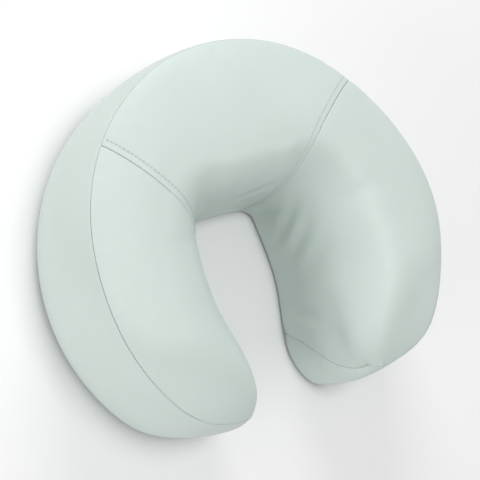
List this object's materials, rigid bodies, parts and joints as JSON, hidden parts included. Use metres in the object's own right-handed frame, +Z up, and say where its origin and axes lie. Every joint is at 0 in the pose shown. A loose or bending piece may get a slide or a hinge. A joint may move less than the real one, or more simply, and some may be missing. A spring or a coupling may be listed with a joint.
{
  "type": "face cradle cushion",
  "caption": "Horseshoe face-rest cushion for a massage table: soft foam in a sewn zipped cover, with loop strips underneath.",
  "frame": {"origin": "middle of the underside, in the plane that the loop strips rest on", "axes": "+Z up, out of the face side; +Y towards the closed brow end; +X across the legs, so the right leg is at +X"},
  "size_m": [0.305, 0.272, 0.1065],
  "materials": {
    "cover_leather": "smooth semi-matt coated fabric with a very fine grain, pale sage green",
    "base_fabric": "plain woven cloth, pale sage green",
    "thread": "polyester sewing thread, tone on tone",
    "memory_foam": "slow-recovery foam, cream",
    "firm_foam": "upholstery foam, off-white",
    "loop_pile": "brushed loop pile, off-white",
    "zip_tape": "woven polyester tape, pale sage green",
    "zip_plastic": "moulded acetal, pale sage green",
    "zip_metal": "painted zinc alloy, pale sage green"
  },
  "bodies": {
    "cushion": {"brow_panel": "cover_leather", "left_cheek_panel": "cover_leather", "right_cheek_panel": "cover_leather", "side_band": "cover_leather", "base_panel": "base_fabric", "left_topstitch": "thread", "right_topstitch": "thread", "memory_foam": "memory_foam", "foam_base": "firm_foam", "left_loop_strip": "loop_pile", "right_loop_strip": "loop_pile", "crown_loop_strip": "loop_pile", "zip_tape_front": "zip_tape", "zip_tape_rear": "zip_tape", "zip_teeth_front": "zip_plastic", "zip_teeth_rear": "zip_plastic", "zip_top_stops": "zip_plastic", "zip_bottom_stop": "zip_plastic"},
    "zip_slider": {"zip_slider": "zip_metal"},
    "zip_pull": {"zip_pull": "zip_metal"}
  },
  "joints": [
    {"name": "zip_slide", "type": "slide", "parent": "cushion", "child": "zip_slider", "axis": [-1, 0, 0], "range_m": [0, 0.155], "deforming": ["zip_teeth_front", "zip_teeth_rear"]},
    {"name": "pull_hinge", "type": "hinge", "parent": "zip_slider", "child": "zip_pull", "pos_m": [0.079, 0.086, 0.00155], "axis": [0, -1, 0], "range_deg": [0, 165]}
  ]
}
